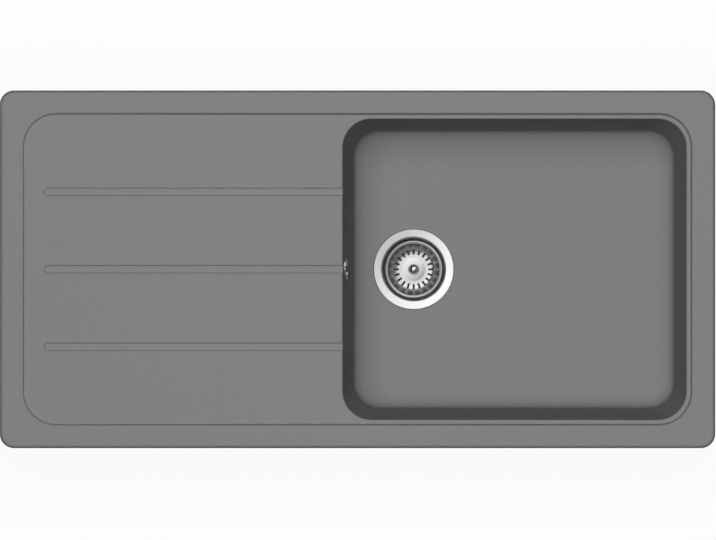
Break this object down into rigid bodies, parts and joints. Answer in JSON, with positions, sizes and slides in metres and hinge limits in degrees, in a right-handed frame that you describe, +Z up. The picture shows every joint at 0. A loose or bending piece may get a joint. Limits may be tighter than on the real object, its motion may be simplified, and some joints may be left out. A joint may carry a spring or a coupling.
{
  "type": "kitchen sink with drainboard",
  "caption": "Inset kitchen sink in grey stone composite with a grooved drainboard at the left, a large deep bowl at the right, a lift-out basket strainer waste, overflow and worktop clamps.",
  "frame": {"origin": "middle of the rim's outline, on the plane of the rim's underside, which is the worktop's surface", "axes": "+X along the length towards the bowl, +Y to the back of the worktop, +Z up"},
  "size_m": [1, 0.5, 0.2865],
  "materials": {
    "composite": "fine matte, stone-filled",
    "stainless": "brushed",
    "polished_steel": "polished",
    "rubber": "moulded",
    "foam": "closed-cell foam",
    "waste_plastic": "moulded",
    "nut_plastic": "moulded",
    "brass": "turned",
    "zinc_steel": "zinc plated"
  },
  "bodies": {
    "sink": {"sink_body": "composite", "rim_seal": "foam", "strainer_flange": "stainless", "flange_gasket": "rubber", "waste_gasket": "rubber", "waste_body": "waste_plastic", "outlet_connector": "waste_plastic", "waste_insert": "brass", "strainer_screw": "stainless", "overflow_rosette": "stainless", "overflow_screw": "polished_steel", "overflow_gasket": "rubber", "overflow_elbow": "waste_plastic", "overflow_pipe": "waste_plastic", "overflow_nut_top": "nut_plastic", "overflow_seal_top": "rubber", "overflow_nut_bottom": "nut_plastic", "overflow_seal_bottom": "rubber", "clamp_insert_back_1": "nut_plastic", "clamp_insert_front_1": "nut_plastic", "clamp_insert_back_2": "nut_plastic", "clamp_insert_front_2": "nut_plastic", "clamp_insert_back_3": "nut_plastic", "clamp_insert_front_3": "nut_plastic", "clamp_insert_right_1": "nut_plastic", "clamp_insert_left_1": "nut_plastic"},
    "basket": {"strainer_basket": "stainless", "basket_seal": "rubber", "basket_post": "stainless", "post_ring": "rubber", "basket_knob": "polished_steel"},
    "clamp_screw_back_1": {"clamp_screw_back_1": "zinc_steel"},
    "clamp_arm_back_1": {"clamp_arm_back_1": "zinc_steel"},
    "clamp_screw_front_1": {"clamp_screw_front_1": "zinc_steel"},
    "clamp_arm_front_1": {"clamp_arm_front_1": "zinc_steel"},
    "clamp_screw_back_2": {"clamp_screw_back_2": "zinc_steel"},
    "clamp_arm_back_2": {"clamp_arm_back_2": "zinc_steel"},
    "clamp_screw_front_2": {"clamp_screw_front_2": "zinc_steel"},
    "clamp_arm_front_2": {"clamp_arm_front_2": "zinc_steel"},
    "clamp_screw_back_3": {"clamp_screw_back_3": "zinc_steel"},
    "clamp_arm_back_3": {"clamp_arm_back_3": "zinc_steel"},
    "clamp_screw_front_3": {"clamp_screw_front_3": "zinc_steel"},
    "clamp_arm_front_3": {"clamp_arm_front_3": "zinc_steel"},
    "clamp_screw_right_1": {"clamp_screw_right_1": "zinc_steel"},
    "clamp_arm_right_1": {"clamp_arm_right_1": "zinc_steel"},
    "clamp_screw_left_1": {"clamp_screw_left_1": "zinc_steel"},
    "clamp_arm_left_1": {"clamp_arm_left_1": "zinc_steel"}
  },
  "joints": [
    {"name": "basket_lift", "type": "slide", "parent": "sink", "child": "basket", "axis": [0, 0, 1], "range_m": [0, 0.25]},
    {"name": "clamp_draw_back_1", "type": "slide", "parent": "sink", "child": "clamp_screw_back_1", "axis": [0, 0, 1], "range_m": [0, 0.012]},
    {"name": "clamp_swing_back_1", "type": "hinge", "parent": "clamp_screw_back_1", "child": "clamp_arm_back_1", "pos_m": [-0.36, 0.226, -0.035], "axis": [0, 0, 1], "range_deg": [0, 90]},
    {"name": "clamp_draw_front_1", "type": "slide", "parent": "sink", "child": "clamp_screw_front_1", "axis": [0, 0, 1], "range_m": [0, 0.012]},
    {"name": "clamp_swing_front_1", "type": "hinge", "parent": "clamp_screw_front_1", "child": "clamp_arm_front_1", "pos_m": [-0.36, -0.226, -0.035], "axis": [0, 0, 1], "range_deg": [0, 90]},
    {"name": "clamp_draw_back_2", "type": "slide", "parent": "sink", "child": "clamp_screw_back_2", "axis": [0, 0, 1], "range_m": [0, 0.012]},
    {"name": "clamp_swing_back_2", "type": "hinge", "parent": "clamp_screw_back_2", "child": "clamp_arm_back_2", "pos_m": [0.02, 0.226, -0.035], "axis": [0, 0, 1], "range_deg": [0, 90]},
    {"name": "clamp_draw_front_2", "type": "slide", "parent": "sink", "child": "clamp_screw_front_2", "axis": [0, 0, 1], "range_m": [0, 0.012]},
    {"name": "clamp_swing_front_2", "type": "hinge", "parent": "clamp_screw_front_2", "child": "clamp_arm_front_2", "pos_m": [0.02, -0.226, -0.035], "axis": [0, 0, 1], "range_deg": [0, 90]},
    {"name": "clamp_draw_back_3", "type": "slide", "parent": "sink", "child": "clamp_screw_back_3", "axis": [0, 0, 1], "range_m": [0, 0.012]},
    {"name": "clamp_swing_back_3", "type": "hinge", "parent": "clamp_screw_back_3", "child": "clamp_arm_back_3", "pos_m": [0.4, 0.226, -0.035], "axis": [0, 0, 1], "range_deg": [0, 90]},
    {"name": "clamp_draw_front_3", "type": "slide", "parent": "sink", "child": "clamp_screw_front_3", "axis": [0, 0, 1], "range_m": [0, 0.012]},
    {"name": "clamp_swing_front_3", "type": "hinge", "parent": "clamp_screw_front_3", "child": "clamp_arm_front_3", "pos_m": [0.4, -0.226, -0.035], "axis": [0, 0, 1], "range_deg": [0, 90]},
    {"name": "clamp_draw_right_1", "type": "slide", "parent": "sink", "child": "clamp_screw_right_1", "axis": [0, 0, 1], "range_m": [0, 0.012]},
    {"name": "clamp_swing_right_1", "type": "hinge", "parent": "clamp_screw_right_1", "child": "clamp_arm_right_1", "pos_m": [0.476, 0, -0.035], "axis": [0, 0, 1], "range_deg": [0, 90]},
    {"name": "clamp_draw_left_1", "type": "slide", "parent": "sink", "child": "clamp_screw_left_1", "axis": [0, 0, 1], "range_m": [0, 0.012]},
    {"name": "clamp_swing_left_1", "type": "hinge", "parent": "clamp_screw_left_1", "child": "clamp_arm_left_1", "pos_m": [-0.476, 0, -0.035], "axis": [0, 0, 1], "range_deg": [0, 90]}
  ]
}
